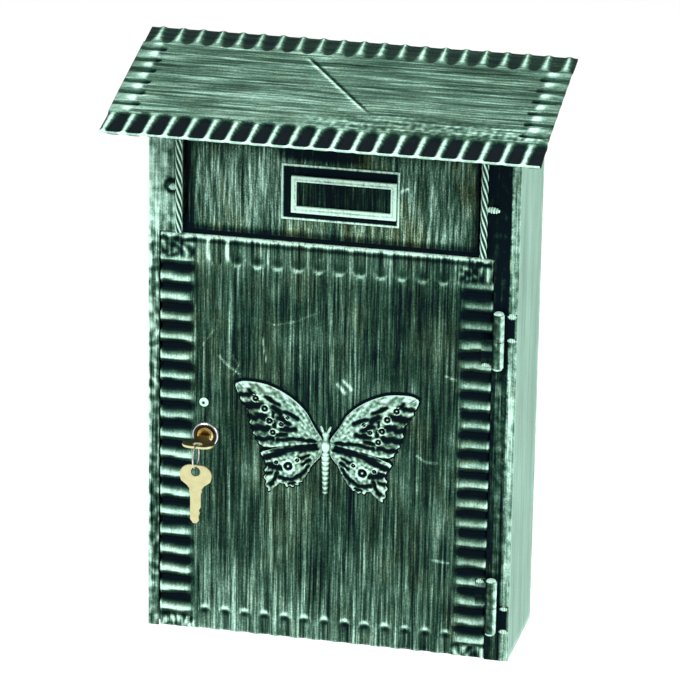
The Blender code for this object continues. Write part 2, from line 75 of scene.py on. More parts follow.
turn, rise, lean = (math.radians(a) for a in (13.04, 18.84, -0.91))
sight = Vector((math.sin(turn) * math.cos(rise), -math.cos(turn) * math.cos(rise), math.sin(rise)))
right = Vector((math.cos(turn), math.sin(turn), 0))
up = sight.cross(right)
face_y = corner("left_stile", 0).y
aim = Vector((0, face_y, 0)) + 6.4 * MM * right + 24.0 * MM * up
camera_data = bpy.data.cameras.new("camera")
camera_data.lens = 223.9
camera_data.sensor_width = 36
camera_data.clip_end = 50
camera = bpy.data.objects.new("camera", camera_data)
bpy.context.scene.collection.objects.link(camera)
leaned_right = math.cos(lean) * right - math.sin(lean) * up
leaned_up = math.sin(lean) * right + math.cos(lean) * up
axes = Matrix((leaned_right, leaned_up, sight)).transposed().to_4x4()
camera.matrix_world = Matrix.Translation(aim + 2.915 * sight) @ axes
bpy.context.scene.camera = camera
bpy.context.scene.view_settings.view_transform = "Standard"


# --- Floor and light -------------------------------------------------------------------------
# A white sweep well below the box, one broad soft lamp from the upper left, a weaker one from
# the right that lights the pale side, and a white surround.
def principled(name):
    """A new material and its Principled shader."""
    material = bpy.data.materials.new(name)
    material.use_nodes = True
    return material, material.node_tree.nodes["Principled BSDF"]


floor_mesh = bpy.data.meshes.new("floor")
floor_bm = bmesh.new()
bmesh.ops.create_grid(floor_bm, x_segments=1, y_segments=1, size=12)
floor_bm.to_mesh(floor_mesh)
floor_bm.free()
floor = bpy.data.objects.new("floor", floor_mesh)
floor.location.z = cad_box[0][2] - 0.45
bpy.context.scene.collection.objects.link(floor)
floor_paint, shader = principled("floor_white")
shader.inputs["Base Color"].default_value = (0.93, 0.93, 0.93, 1)
shader.inputs["Roughness"].default_value = 0.9
shader.inputs["Emission Color"].default_value = (1, 1, 1, 1)
shader.inputs["Emission Strength"].default_value = 0.17
floor_mesh.materials.append(floor_paint)

LAMPS = {
    "key_lamp": ((-1.1, -2.0, 2.3), 1.2, 58),
    "side_lamp": ((2.6, -0.9, 0.9), 1.6, 40),
    "top_lamp": ((0.2, 0.5, 2.6), 1.8, 22),
}
for name, (place, size, watts) in LAMPS.items():
    lamp_data = bpy.data.lights.new(name, "AREA")
    lamp_data.size = size
    lamp_data.energy = watts
    lamp = bpy.data.objects.new(name, lamp_data)
    lamp.location = place
    lamp.rotation_euler = (-Vector(place)).to_track_quat("-Z", "Y").to_euler()
    bpy.context.scene.collection.objects.link(lamp)
world = bpy.data.worlds.new("surround")
world.use_nodes = True
world.node_tree.nodes["Background"].inputs["Color"].default_value = (1, 1, 1, 1)
world.node_tree.nodes["Background"].inputs["Strength"].default_value = 0.75
bpy.context.scene.world = world


# --- Brushed patina --------------------------------------------------------------------------
# The whole box is sprayed black-green and then dry brushed with pale mint paint, which
# catches on ridges and edges and drags out in streaks along the brush's stroke.
class Wire:
    """A socket of a material, with arithmetic that adds Math nodes."""

    def __init__(self, material, socket):
        self.material = material
        self.socket = socket

    def node(self, kind, settings=None, **sockets):
        made = self.material.node_tree.nodes.new(kind)
        for key, value in (settings or {}).items():
            setattr(made, key, value)
        for key, value in sockets.items():
            place = made.inputs[int(key[1:])] if key[1:].isdigit() else made.inputs[key.replace("_", " ")]
            if isinstance(value, Wire):
                self.material.node_tree.links.new(value.socket, place)
            else:
                place.default_value = value
        return made

    def maths(self, operation, *values):
        made = self.node("ShaderNodeMath", {"operation": operation},
                         **{f"i{i}": value for i, value in enumerate(values)})
        return Wire(self.material, made.outputs[0])

    def __add__(self, other):
        return self.maths("ADD", self, other)

    def __sub__(self, other):
        return self.maths("SUBTRACT", self, other)

    def __rsub__(self, other):
        return self.maths("SUBTRACT", other, self)

    def __mul__(self, other):
        return self.maths("MULTIPLY", self, other)

    __radd__ = __add__
    __rmul__ = __mul__

    def clamp(self):
        held = self.maths("MAXIMUM", self, 0.0)
        return held.maths("MINIMUM", held, 1.0)

    def between(self, low, high):
        """Rises smoothly from 0 at low to 1 at high."""
        made = self.node("ShaderNodeMapRange", {"interpolation_type": "SMOOTHSTEP"}, Value=self,
                         From_Min=low, From_Max=high)
        return Wire(self.material, made.outputs[0])

    def mixed(self, other, amount):
        """This colour turned towards another by an amount between 0 and 1."""
        mix = self.node("ShaderNodeMix", {"data_type": "RGBA"}, i0=amount, i6=self, i7=other)
        return Wire(self.material, mix.outputs[2])

    def stored(self, name):
        """A value kept in the mesh's points."""
        made = self.node("ShaderNodeAttribute", {"attribute_name": name})
        return Wire(self.material, made.outputs["Fac"])

    def stretched_noise(self, stretch, detail=4.0, roughness=0.6, shift=(0, 0, 0)):
        """Noise of the place that this vector wire gives, stretch cells to the metre."""
        moved = self.node("ShaderNodeMapping", Vector=self, Scale=stretch, Location=shift)
        made = self.node("ShaderNodeTexNoise", Vector=Wire(self.material, moved.outputs[0]),
                         Scale=1.0, Detail=detail, Roughness=roughness)
        return Wire(self.material, made.outputs["Fac"])


def start(name):
    """A material, its shader, and the place on the piece in metres."""
    material, shader = principled(name)
    nodes = material.node_tree.nodes
    return material, shader, Wire(material, nodes.new("ShaderNodeTexCoord").outputs["Object"])


def feed(shader, name, wire):
    wire.material.node_tree.links.new(wire.socket, shader.inputs[name])


PATINA = ((0.00, (0.0003, 0.0022, 0.0050)), (0.22, (0.0065, 0.0250, 0.0150)),
          (0.42, (0.0290, 0.0750, 0.0490)), (0.60, (0.0960, 0.1880, 0.1380)),
          (0.78, (0.2600, 0.4560, 0.3660)), (1.00, (0.5700, 0.8500, 0.7200)))


def coloured(value, stops):
    """Colour of a value between 0 and 1, from (position, colour) stops."""
    ramp = value.node("ShaderNodeValToRGB", Fac=value)
    while len(ramp.color_ramp.elements) < len(stops):
        ramp.color_ramp.elements.new(0.5)
    for element, (position, colour) in zip(ramp.color_ramp.elements, stops):
        element.position = position
        element.color = (*colour, 1)
    return Wire(value.material, ramp.outputs["Color"])


OLIVE = ((0.00, (0.0020, 0.0030, 0.0040)), (0.22, (0.0150, 0.0230, 0.0080)),
         (0.42, (0.0500, 0.0760, 0.0300)), (0.60, (0.1450, 0.2050, 0.1150)),
         (0.78, (0.3200, 0.4700, 0.3300)), (1.00, (0.6000, 0.8400, 0.6600)))


def brushed_patina(name, fine, long, base=0.44, contrast=1.0, grip=1.0, olive=0.28):
    """Dry-brushed paint: fine and long are the two layers of streaks, cells to the metre."""
    material, shader, place = start(name)
    # The stored value is the rubbed pale paint, with painted light and shade added on some pieces.
    worn, calm = place.stored("worn"), place.stored("calm")
    streaks = place.stretched_noise(fine, 5.0, 0.72)
    strokes = place.stretched_noise(long, 2.0, 0.5, (3.1, 1.7, 5.3))
    clouds = place.stretched_noise((16, 16, 16), 3.0, 0.6, (7.7, 2.9, 0.4))
    flecks = place.stretched_noise((900, 900, 900), 3.0, 0.6)
    lines = strokes.between(0.60, 0.74) - strokes.between(0.44, 0.28)
    brush = (streaks - 0.5) * (1.9 * contrast) + lines * (0.20 * contrast)
    mottle = (clouds - 0.5) * (0.06 + 0.28 * contrast) + (flecks - 0.5) * (0.2 + 0.3 * contrast)
    value = brush * (1.0 - calm * 0.8) + mottle + (worn - 0.5) * (1.2 * grip) + base
    value = value.clamp()
    patches = place.stretched_noise((45, 45, 22), 3.0, 0.6, (1.9, 8.2, 4.6))
    colour = coloured(value, PATINA).mixed(coloured(value, OLIVE),
                                           patches.between(0.46, 0.66) * olive)
    feed(shader, "Base Color", colour)
    feed(shader, "Roughness", 0.52 - value * 0.08 + (flecks - 0.5) * 0.2)
    shader.inputs["Specular IOR Level"].default_value = 0.07
    shader.inputs["Specular Tint"].default_value = (0.40, 0.80, 0.85, 1)
    bump = place.node("ShaderNodeBump", Strength=0.5, Distance=0.0004, Height=value)
    feed(shader, "Normal", Wire(material, bump.outputs[0]))
    return material


DOWN_FINE = (600, 600, 16)
DOWN_LONG = (330, 330, 6)
patina_down = brushed_patina("patina_brushed_down", DOWN_FINE, DOWN_LONG, 0.42, 1.15)


# --- Roof ------------------------------------------------------------------------------------
# One sheet of steel welded on top. Every edge is hammered over a bar into short flutes, the
# brush ran from side to side, and a long dent crosses the middle.
roof_low, roof_high = corner("roof", 0), corner("roof", 1)
roof_width = (roof_high.x - roof_low.x) / MM
roof_thickness = 1.5 * MM
slope = math.radians(16.46)
roof_upward = Vector((0, math.cos(slope), math.sin(slope)))
roof_normal = Vector((0, -math.sin(slope), math.cos(slope)))
roof_front = roof_low + roof_normal * roof_thickness
roof_length = (roof_high.y - roof_low.y - roof_thickness * math.sin(slope)) / math.cos(slope) / MM
DENT = (Vector((119.5, 113.0)), Vector((175.0, 50.0)))


record = frame["record"]
body_of = {node: body for body, nodes in record["behaviour"]["bodies"].items() for node in nodes}


def own(node, piece, material):
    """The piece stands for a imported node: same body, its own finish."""
    piece.data.materials.clear()
    piece.data.materials.append(material)
    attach(piece, body_of[node])


def new_piece(name, mesh):
    piece = bpy.data.objects.new(name, mesh)
    bpy.context.scene.collection.objects.link(piece)
    return piece


def step_between(x, low, high):
    """0 below low, 1 above high, and a smooth rise between; works on arrays."""
    t = np.clip((x - low) / (high - low), 0, 1)
    return t * t * (3 - 2 * t)


def wander(u, v, size, seed):
    """Low waves over a sheet, -1 to 1, from noise of the given cell size in millimetres."""
    flat = [noise.noise(Vector((x / size, y / size, seed))) for x, y in zip(u.ravel(), v.ravel())]
    return np.array(flat).reshape(u.shape)


def slots(along, inward, pitch, half_width, length):
    """Rounded grooves hammered inward from an edge.

    Gives their depth, 0 to 1, the ridges left between them, and how far each point is off the
    middle of its groove."""
    off = (along / pitch - np.floor(along / pitch) - 0.5) * pitch
    past = np.maximum(inward - (length - half_width), 0)
    reach = np.hypot(off, past)
    depth = 1 - step_between(reach, half_width * 0.55, half_width * 1.25)
    beside = 1 - step_between(inward, length - 6, length + 1)
    ridge = step_between(np.abs(off), half_width * 0.9, pitch / 2) * beside
    return depth, ridge, off


def hammered_sheet(name, start_corner, across, upward, size, cell, relief, hem, thickness):
    """A sheet as a fine grid pushed in and out by relief(u, v), which also gives how pale its paint is, from
    rubbing and painted shading.

    u runs along across and v along upward, in millimetres; hem turns the edge back by that
    depth in metres (0 for none), and the sheet is then given its thickness."""
    width, height = size
    nu = max(2, round(width / cell))
    nv = max(2, round(height / cell))
    u, v = np.meshgrid(np.linspace(0, width, nu + 1), np.linspace(0, height, nv + 1))
    lift, worn, calm = relief(u, v)
    outward = across.cross(upward)
    grid = (np.asarray(start_corner)[:, None] + np.asarray(across)[:, None] * u.ravel() * MM
            + np.asarray(upward)[:, None] * v.ravel() * MM
            + np.asarray(outward)[:, None] * lift.ravel() * MM).T
    bm = bmesh.new()
    layer = bm.verts.layers.float.new("worn")
    calm_layer = bm.verts.layers.float.new("calm")
    verts = [bm.verts.new(point) for point in grid]
    for vert, value, still in zip(verts, worn.ravel(), calm.ravel()):
        vert[layer] = value
        vert[calm_layer] = still
    row = nu + 1
    for j in range(nv):
        for i in range(nu):
            a = j * row + i
            bm.faces.new((verts[a], verts[a + 1], verts[a + row + 1], verts[a + row]))
    if hem:
        plane = Vector(start_corner) - outward * hem
        rim = bmesh.ops.extrude_edge_only(bm, edges=[e for e in bm.edges if e.is_boundary])
        for vert in rim["geom"]:
            if isinstance(vert, bmesh.types.BMVert):
                vert.co += outward * (plane - vert.co).dot(outward)
                vert[layer] = 0.45
    bmesh.ops.recalc_face_normals(bm, faces=bm.faces)
    if sum(f.normal.dot(outward) for f in bm.faces) < 0:
        bmesh.ops.reverse_faces(bm, faces=bm.faces)
    mesh = bpy.data.meshes.new(name)
    bm.to_mesh(mesh)
    bm.free()
    mesh.shade_smooth()
    piece = new_piece(name, mesh)
    shell = piece.modifiers.new("sheet", "SOLIDIFY")
    shell.thickness = thickness
    shell.offset = -1.0
    return piece


def roof_relief(u, v):
    pitch = 14.4
    jitter = wander(u, v, 9, 3.0)
    to_back = roof_length - v
    to_right = roof_width - u
    lean = u - 2.8 - 0.05 * v
    front, front_ridge, _ = slots(lean, v, pitch, 5.0 + 0.4 * jitter, 27)
    back, back_ridge, _ = slots(u - 8.6, to_back, pitch, 6.4 - 0.12 * np.clip(to_back, 0, 25), 22)
    left, left_ridge, _ = slots(v - 1.0 + 0.8 * jitter, u, pitch, 2.2, 19)
    right_, right_ridge, _ = slots(v + 1.0 + 0.8 * jitter, to_right, pitch, 2.0, 20)
    clear = step_between(v, 25, 31) * step_between(to_back, 20, 26)
    slit = np.maximum(left, right_) * clear
    lobe = np.maximum(left_ridge * (1 - step_between(u, 13, 17)),
                      right_ridge * (1 - step_between(to_right, 14, 18))) * clear
    inner_end = np.maximum(np.exp(-((u - 12.5) / 4.0) ** 2), np.exp(-((to_right - 13) / 4.0) ** 2))
    blob = np.maximum(left * np.exp(-((u - 18) / 3.2) ** 2),
                      right_ * np.exp(-((to_right - 19) / 3.2) ** 2)) * clear
    rim = 1 - step_between(v, 0.5, 1.7 + 0.4 * jitter)
    hollow = np.maximum(front * (1 - rim), 0.62 * back)
    waves = wander(u, v, 46, 2.0)
    off_edge = step_between(np.minimum(u, to_right), 0.0, 7.0)
    lift = -2.1 * hollow + (0.9 * lobe - 0.9 * slit - 0.8 * blob) * off_edge + 0.35 * waves
    ridge = np.maximum(front_ridge, back_ridge)
    worn = 0.50 - 0.50 * hollow - 0.30 * front * (1 - step_between(v, 6, 21))
    worn = worn + 0.34 * ridge ** 1.6 - 0.22 * slit - 0.60 * blob
    worn = worn + lobe * (0.10 + 0.38 * inner_end) + 0.5 * rim
    worn = worn + 0.09 * (1 - step_between(v, 24, 80))
    speckle = wander(u, v, 3.2, 4.0) * (1 - step_between(v, 30, 55)) * step_between(u, 100, 180)
    worn = worn + 0.35 * speckle * step_between(v, 24, 30)
    calm = np.clip(hollow + ridge + lobe + slit + rim, 0, 1)
    run = DENT[1] - DENT[0]
    along = ((u - DENT[0].x) * run.x + (v - DENT[0].y) * run.y) / run.length_squared
    off = ((u - DENT[0].x) * run.y - (v - DENT[0].y) * run.x) / run.length
    inside = step_between(along, -0.02, 0.08) * (1 - step_between(along, 0.9, 1.05))
    groove = inside * np.exp(-(off / 0.75) ** 2)
    shoulder = inside * np.exp(-((off - 2.2) / 1.1) ** 2)
    lift = lift - 0.8 * groove + 0.25 * shoulder
    worn = worn - 0.60 * groove + 0.34 * shoulder
    return lift, np.clip(worn, 0, 1), calm


roof = hammered_sheet("roof_sheet", roof_front, Vector((1, 0, 0)), roof_upward,
                      (roof_width, roof_length), 1.15, roof_relief, 0, roof_thickness)
roof_paint = brushed_patina("patina_brushed_across", (18, 420, 420), (6, 150, 150), 0.50, 0.95, 1.0, 0.12)
own("roof", roof, roof_paint)
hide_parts("roof")


# --- Door ------------------------------------------------------------------------------------
# A shallow pan of sheet steel, its face hammered into flutes along all four edges and its
# edges turned back; the lock's hole is punched near the left edge.
door_low, door_high = corner("door_panel", 0), corner("door_panel", 1)
door_width = (door_high.x - door_low.x) / MM
door_height = (door_high.z - door_low.z) / MM
sheet_thickness = 1.3 * MM
door_depth = door_high.y - door_low.y


def apply_modifiers(piece):
    """Freeze a piece's modifiers into its mesh."""
    bpy.context.view_layer.update()
    done = piece.evaluated_get(bpy.context.evaluated_depsgraph_get())
    mesh = bpy.data.meshes.new_from_object(done)
    piece.modifiers.clear()
    piece.data = mesh


def dab(off, along, width, height):
    """A soft round spot, 1 in its middle."""
    return np.exp(-(off / width) ** 2 - (along / height) ** 2)


def bars(along, inward, pitch, length):
    """Rounded bars that run inward from an edge.

    Gives the hollows between them, the bars, how pale each bar is, from rubbed paint and from
    painted shading that is brightest along its lower side and drops sharply to dark below it,
    and how far the whole row reaches, all 0 to 1."""
    swing = np.cos(2 * math.pi * along / pitch)
    share = along / pitch - np.floor(along / pitch)
    reach = 1 - step_between(inward, length - 7, length)
    pale = step_between(share, 0.34, 0.42) * (1 - 0.75 * step_between(share, 0.5, 0.82))
    return (step_between(swing, -0.05, 0.9) * reach, step_between(-swing, -0.55, 0.75) * reach,
            pale * reach, reach)


def rounded_edge(u, v, width, height, radius):
    """How far the face falls away within one radius of its edges, in millimetres."""
    near = np.minimum(np.minimum(u, width - u), np.minimum(v, height - v))
    short = np.clip(radius - near, 0, radius)
    return radius - np.sqrt(radius ** 2 - short ** 2)


def scratch(u, v, points, width):
    """How strongly a thin mark through the points shows, 0 to 1."""
    nearest = np.full(u.shape, 1e6)
    for (u0, v0), (u1, v1) in zip(points, points[1:]):
        run_u, run_v = u1 - u0, v1 - v0
        t = np.clip(((u - u0) * run_u + (v - v0) * run_v) / (run_u ** 2 + run_v ** 2), 0, 1)
        nearest = np.minimum(nearest, np.hypot(u - u0 - t * run_u, v - v0 - t * run_v))
    return np.exp(-(nearest / width) ** 2)


SIDE_PITCH = 14.45
SIDE_REACH = 24
RIGHT_BARS_START = 5.5
DOOR_MARKS = [
    ([(66, 236), (82, 232), (97, 236), (111, 243)], 0.6, 0.16),
    ([(42, 206), (49, 199), (57, 194)], 0.8, 0.35),
    ([(52, 207), (56, 200), (53, 193)], 0.7, 0.30),
    ([(127, 193), (132, 187)], 1.3, 0.55),
    ([(131, 196), (137, 190)], 1.0, 0.55),
    ([(203, 206), (210, 204)], 0.8, 0.45),
    ([(184, 146), (190, 142), (198, 142)], 0.8, 0.35),
    ([(196, 70), (208, 69)], 0.8, 0.35),
    ([(30, 212), (38, 224)], 0.6, 0.25),
    ([(73, 222), (76, 205)], 0.6, 0.35),
]


def door_relief(u, v):
    end_pitch = 14.5
    to_right = door_width - u
    to_top = door_height - v
    jitter = wander(u, v, 11, 1.0)
    left, left_bar, left_pale, left_reach = bars(v - 7.5 + jitter, u, SIDE_PITCH, 26 + 2 * jitter)
    right_, right_bar, right_pale, right_reach = bars(v - RIGHT_BARS_START + jitter, to_right,
                                                      SIDE_PITCH, SIDE_REACH + 2 * jitter)
    top, top_ridge, top_off = slots(u - 3.5, to_top, end_pitch, 5.0, 21)
    foot, foot_ridge, foot_off = slots(u - 11.2, v, end_pitch, 4.6, 17)
    inner = step_between(u, 22, 28) * step_between(to_right, 20, 26)
    clear = step_between(v, 7, 12) * step_between(to_top, 14, 19)
    base_shift = np.maximum(inner * (0.12 * (1 - step_between(to_top, 16, 30))),
                            inner * (0.03 * (1 - step_between(v, 14, 40))))
    sides = np.maximum(left, right_) * clear
    side_bar = np.maximum(left_bar, right_bar) * clear
    # The bars' pale profile is rubbed paint with painted shading across each bar.
    side_pale = np.maximum(left_pale, 0.8 * right_pale) * clear
    fading = 1 - 0.65 * step_between(u, 60, 100)
    waves = wander(u, v, 34, 5.0)
    small = wander(u, v, 10, 9.0)
    lift = -1.9 * sides + 0.8 * side_bar - (0.9 * top + 1.2 * foot) * inner + 0.3 * waves + 0.12 * small
    lift = lift - rounded_edge(u, v, door_width, door_height, 1.2)
    worn = 0.47 - 0.08 * step_between(v, 90, 240) + 0.05 * (1 - step_between(v, 20, 110))
    worn = worn - 0.07 * step_between(u, 140, 195) * inner
    worn = worn - 0.50 * sides - 0.20 * (left_reach + right_reach) * clear + 0.68 * side_pale
    cups = dab(top_off, to_top - 15.5, 3.2, 2.6) * step_between(u, 45, 58)
    crescents = dab(top_off, to_top - 20.2 + 0.11 * top_off ** 2, 4.0, 1.3) * step_between(u, 45, 58)
    curls = dab(top_off + 7.2 - 0.035 * (to_top - 9) ** 2, 0, 1.3, 1) * (1 - step_between(u, 45, 62))
    curls = curls * (1 - step_between(to_top, 15, 19))
    worn = worn + base_shift + inner * (-0.04 * top + 0.10 * top_ridge * fading)
    worn = worn + inner * (0.46 * crescents + 0.42 * curls - 0.34 * cups * fading)
    tips = dab(foot_off, v - 17.8 + 0.10 * foot_off ** 2, 3.4, 1.7)
    pits = dab(foot_off, v - 14.0, 2.6, 1.7)
    worn = worn + inner * (0.52 * tips - 0.34 * pits - 0.05 * foot + 0.10 * foot_ridge)
    swirl = np.sin(0.62 * u + 4 * jitter) * np.cos(0.55 * v + 4 * small)
    worn = worn + (1 - inner) * (1 - clear) * 0.42 * swirl
    worn = worn + 0.10 * waves + 0.06 * small
    # Painted highlight: the pale line along the top edge is partly rubbed paint and partly painted light
    # where the edge catches it; a darker band is painted just under it.
    near_top = 1 - step_between(to_top, 1.6, 2.6)
    under_edge = np.exp(-((to_top - 4.0) / 1.3) ** 2)
    worn = worn + 0.60 * near_top - 0.30 * under_edge
    broken = 0.5 + 0.5 * wander(u, v, 7, 8.0)
    worn = worn + 0.55 * (1 - step_between(u, 0.9, 1.9)) * broken
    worn = worn + 0.20 * (1 - step_between(np.minimum(to_right, v), 0.6, 1.8))
    for points, width, strength in DOOR_MARKS:
        mark = scratch(u, v, points, width)
        worn = worn + strength * mark
        lift = lift + 0.25 * mark
    calm = np.clip(np.maximum(left_reach, right_reach) * clear
                   + inner * (tips + pits + cups + crescents), 0, 1)
    return lift, np.clip(worn, 0, 1), calm


door = hammered_sheet("door_skin", (door_low.x, door_low.y, door_low.z), Vector((1, 0, 0)),
                      Vector((0, 0, 1)), (door_width, door_height), 1.15, door_relief,
                      door_depth, sheet_thickness)
lock_low, lock_high = corner("lock_sleeve", 0), corner("lock_sleeve", 1)
lock_centre = (lock_low + lock_high) / 2
sleeve_radius = 7.8 * MM
bpy.ops.mesh.primitive_cylinder_add(vertices=48, radius=sleeve_radius + 0.2 * MM, depth=20 * MM,
                                    location=(lock_centre.x, door_low.y, lock_centre.z),
                                    rotation=(math.radians(90), 0, 0))
punch = bpy.context.object
hole = door.modifiers.new("lock_hole", "BOOLEAN")
hole.operation = "DIFFERENCE"
hole.object = punch
apply_modifiers(door)
bpy.data.objects.remove(punch)
own("door_panel", door, patina_down)
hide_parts("door_panel")


# --- Mail flap -------------------------------------------------------------------------------
# A plain sheet of steel brushed up and down, darker near its top where the roof shades it. Its
# top edge is curled round the hinge rod, so it lifts outward.
flap_low, flap_high = corner("mail_flap", 0), corner("mail_flap", 1)


def set_values(mesh, name, values):
    """Keep one number with each point of the mesh, where the paint reads it."""
    layer = mesh.attributes.get(name) or mesh.attributes.new(name, "FLOAT", "POINT")
    layer.data.foreach_set("value", np.clip(values, 0, 1).astype(np.float32))


def bent_copy(node, name, bevel, cuts=0, wear_and_shading=None):
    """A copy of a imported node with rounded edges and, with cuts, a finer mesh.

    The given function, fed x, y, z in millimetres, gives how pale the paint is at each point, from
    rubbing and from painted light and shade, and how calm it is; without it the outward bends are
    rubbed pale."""
    piece = new_piece(name, frame["nodes"][node].data.copy())
    bm = bmesh.new()
    bm.from_mesh(piece.data)
    bmesh.ops.remove_doubles(bm, verts=bm.verts, dist=0.01 * MM)
    bmesh.ops.dissolve_limit(bm, angle_limit=math.radians(1), verts=bm.verts, edges=bm.edges)
    bm.to_mesh(piece.data)
    bm.free()
    rounding = piece.modifiers.new("rounding", "BEVEL")
    rounding.width = bevel
    rounding.segments = 2
    rounding.limit_method = "ANGLE"
    rounding.angle_limit = math.radians(30)
    apply_modifiers(piece)
    if cuts:
        split_long_edges(piece.data, cuts)
    piece.data.shade_smooth()
    piece.data.set_sharp_from_angle(angle=math.radians(50))
    if wear_and_shading:
        points = np.array([vert.co for vert in piece.data.vertices]).T / MM
        worn, calm = wear_and_shading(*points)
        set_values(piece.data, "worn", worn)
        set_values(piece.data, "calm", calm)
    else:
        wear_edges(piece.data)
    return piece


def split_long_edges(mesh, longest):
    """Cut a mesh until no edge is longer than the given length."""
    bm = bmesh.new()
    bm.from_mesh(mesh)
    bmesh.ops.triangulate(bm, faces=bm.faces)
    for _ in range(7):
        long = [e for e in bm.edges if e.calc_length() > longest]
        if not long:
            break
        bmesh.ops.subdivide_edges(bm, edges=long, cuts=1)
        bmesh.ops.triangulate(bm, faces=[f for f in bm.faces if len(f.verts) > 3])
    bm.to_mesh(mesh)
    bm.free()


def wear_edges(mesh, gain=0.55, base=0.46):
    """Wear is high on outward bends and low in inward ones."""
    bm = bmesh.new()
    bm.from_mesh(mesh)
    bend = np.zeros(len(bm.verts))
    for edge in bm.edges:
        if len(edge.link_faces) == 2:
            turn_angle = edge.calc_face_angle_signed(0.0)
            for vert in edge.verts:
                bend[vert.index] += turn_angle
    count = np.array([max(1, len(vert.link_edges)) for vert in bm.verts])
    bm.free()
    set_values(mesh, "worn", base + gain * np.clip(bend / count * 4, -1, 1))


def flap_wear_and_shade(x, y, z):
    left, right_ = flap_low.x / MM, flap_high.x / MM
    foot = flap_low.z / MM
    edge = np.minimum(x - left, right_ - x)
    # Painted shade: darker along the side edges by the gaps and along the foot, darker towards the top under
    # the roof, and a painted shadow just above the label.
    shade = 1 - step_between(edge, 0.8, 5)
    worn = 0.55 - 0.42 * shade - 0.30 * (1 - step_between(z, foot + 1, foot + 6))
    worn = worn - 0.30 * step_between(z, foot + 54, foot + 74) - 0.03 * step_between(x, 50, 95)
    shadow_above_label = step_between(z, foot + 52, foot + 58) * (1 - step_between(np.abs(x + 8), 20, 36))
    nick = scratch(x, z - foot, [(33, 27), (42, 36), (52, 41)], 0.9)
    return worn - 0.50 * shadow_above_label + 0.45 * nick, 0.25 * np.ones_like(x)


flap = bent_copy("mail_flap", "flap_sheet", 0.25 * MM, 2.2 * MM, flap_wear_and_shade)
flap_paint = brushed_patina("patina_flap", (420, 420, 26), (260, 260, 11), 0.44, 1.70, 1.0, 0.75)
own("mail_flap", flap, flap_paint)
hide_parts("mail_flap")


# --- Case ------------------------------------------------------------------------------------
# Flat sheets cut to shape and seam welded. The sides took most of the pale paint; the strips
# beside the door stay dark with a pale outer edge.
pale_sides = brushed_patina("patina_pale_sides", (160, 160, 9), (40, 40, 3), 0.73, 0.16, 0.5, 0.1)
door_top = door_high.z / MM
case_left, case_right = corner("left_side", 0).x / MM, corner("right_side", 1).x / MM


def left_stile_wear(x, y, z):
    above = step_between(z, door_top - 4, door_top + 10)
    edge = np.exp(-((x - case_left) / 1.4) ** 2)
    speckle = wander(x, z, 4.5, 2.0)
    # A dark ring is painted on the stile above the door.
    from_ring_centre = np.hypot(x - case_left - 16.5, z - door_top - 34.0)
    ring = np.exp(-((from_ring_centre - 4.2) / 1.3) ** 2)
    worn = 0.56 + 0.16 * above + 0.25 * edge + (0.50 - 0.25 * above) * speckle - 0.7 * ring
    return worn, 0.3 * above


def right_stile_wear(x, y, z):
    """Nearly black above and beside the door, greener lower down, with a pale outer edge."""
    outer = step_between(x, case_right - 6.6, case_right - 5.4)
    seam = np.exp(-((x - case_right + 7.4) / 0.7) ** 2)
    lower = 1 - step_between(z, door_top - 95, door_top - 75)
    beside_door = 1 - step_between(x, door_high.x / MM + 2.0, door_high.x / MM + 3.6)
    speckle = wander(x, z, 4.5, 6.0)
    worn = 0.10 + 0.30 * lower * (1 - beside_door) + 0.26 * speckle - 0.25 * seam
    return worn * (1 - outer) + outer * (0.76 + 0.2 * speckle), 0.35 - 0.2 * lower


# Painted shade: the mid rail and the rod brackets sit in shadow, so they are painted nearly black.
def in_shadow(x, y, z):
    return 0.04 + 0.08 * wander(x, z, 6, 3.0), 0.8 * np.ones_like(x)


CASE_SHEETS = {
    "left_side": (pale_sides, None), "right_side": (pale_sides, None),
    "back_panel": (pale_sides, None), "bottom_panel": (patina_down, None),
    "left_stile": (patina_down, left_stile_wear), "right_stile": (patina_down, right_stile_wear),
    "header": (patina_down, None), "mid_rail": (patina_down, in_shadow),
    "left_rod_bracket": (patina_down, in_shadow), "right_rod_bracket": (patina_down, in_shadow),
    "flap_rod": (patina_down, None), "lock_keeper": (patina_down, None),
}
for node, (paint, wear_and_shading) in CASE_SHEETS.items():
    sheet = bent_copy(node, node + "_sheet", 0.22 * MM, (3 if wear_and_shading else 12) * MM, wear_and_shading)
    own(node, sheet, paint)
    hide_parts(node)


# --- Label holder ----------------------------------------------------------------------------
# A flat plate with a raised frame, spot welded on the flap; the frame and the plate's border
# are rubbed pale, the window and the strip between them stay dark.
plate_low, plate_high = corner("label_plate", 0) / MM, corner("label_plate", 1) / MM
frame_low, frame_high = corner("label_frame", 0) / MM, corner("label_frame", 1) / MM


def inside_by(x, z, low, high):
    """How far a point lies inside a box's outline."""
    return np.minimum(np.minimum(x - low.x, high.x - x), np.minimum(z - low.z, high.z - z))


def plate_wear(x, y, z):
    border = 1 - step_between(inside_by(x, z, plate_low, plate_high), 1.2, 2.0)
    streak = wander(x, z * 0.2, 2.0, 1.0)
    window = step_between(inside_by(x, z, frame_low, frame_high), 1.0, 5.0)
    return 0.08 + 0.86 * border + 0.12 * streak + 0.16 * window, 0.7 - 0.5 * window


def frame_wear(x, y, z):
    deep = inside_by(x, z, frame_low, frame_high)
    groove = np.exp(-((deep - 2.4) / 0.6) ** 2)
    return 1.05 - 0.25 * groove + 0.10 * wander(x, z, 5, 1.0), np.ones_like(x)


for node, wear_and_shading in (("label_plate", plate_wear), ("label_frame", frame_wear)):
    piece = bent_copy(node, node + "_sheet", 0.25 * MM, 1.2 * MM, wear_and_shading)
    own(node, piece, patina_down)
    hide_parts(node)


